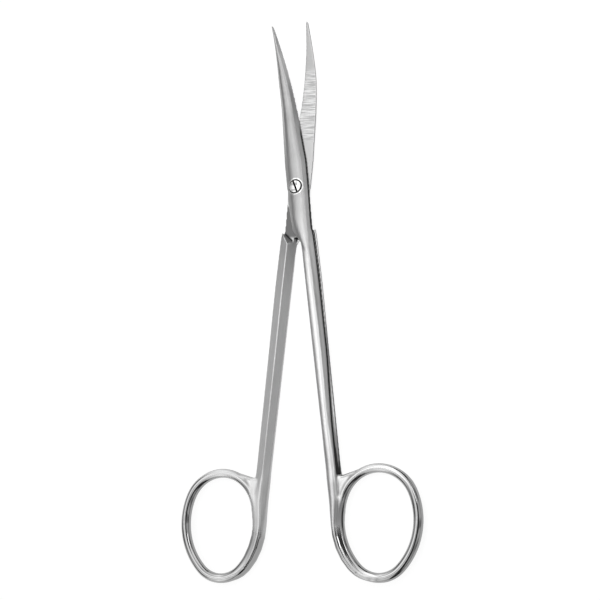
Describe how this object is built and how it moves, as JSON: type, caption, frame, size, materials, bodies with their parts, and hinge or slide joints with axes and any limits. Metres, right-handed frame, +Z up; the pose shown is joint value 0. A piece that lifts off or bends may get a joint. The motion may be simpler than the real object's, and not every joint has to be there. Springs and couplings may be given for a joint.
{
  "type": "dissecting scissors",
  "caption": "Slim surgical scissors with curved, pointed blades, a slotted pivot screw and oval finger rings, lying slightly open.",
  "frame": {"origin": "on the pivot axis, at the table the scissors lie on", "axes": "+Y to the blade tips, +Z up from the table, +X to the finger ring of the upper half"},
  "size_m": [0.0713, 0.1569, 0.0096],
  "materials": {
    "satin_steel": "satin blades and shanks, mirror-polished finger rings",
    "bright_steel": "bright turned screw head"
  },
  "bodies": {
    "lower": {"back_half": "satin_steel", "pivot_screw": "bright_steel"},
    "upper": {"front_half": "satin_steel"}
  },
  "joints": [
    {"name": "pivot", "type": "hinge", "parent": "lower", "child": "upper", "pos_m": [0, 0, 0.00185], "axis": [0, 0, 1], "range_deg": [-12, 48]}
  ]
}
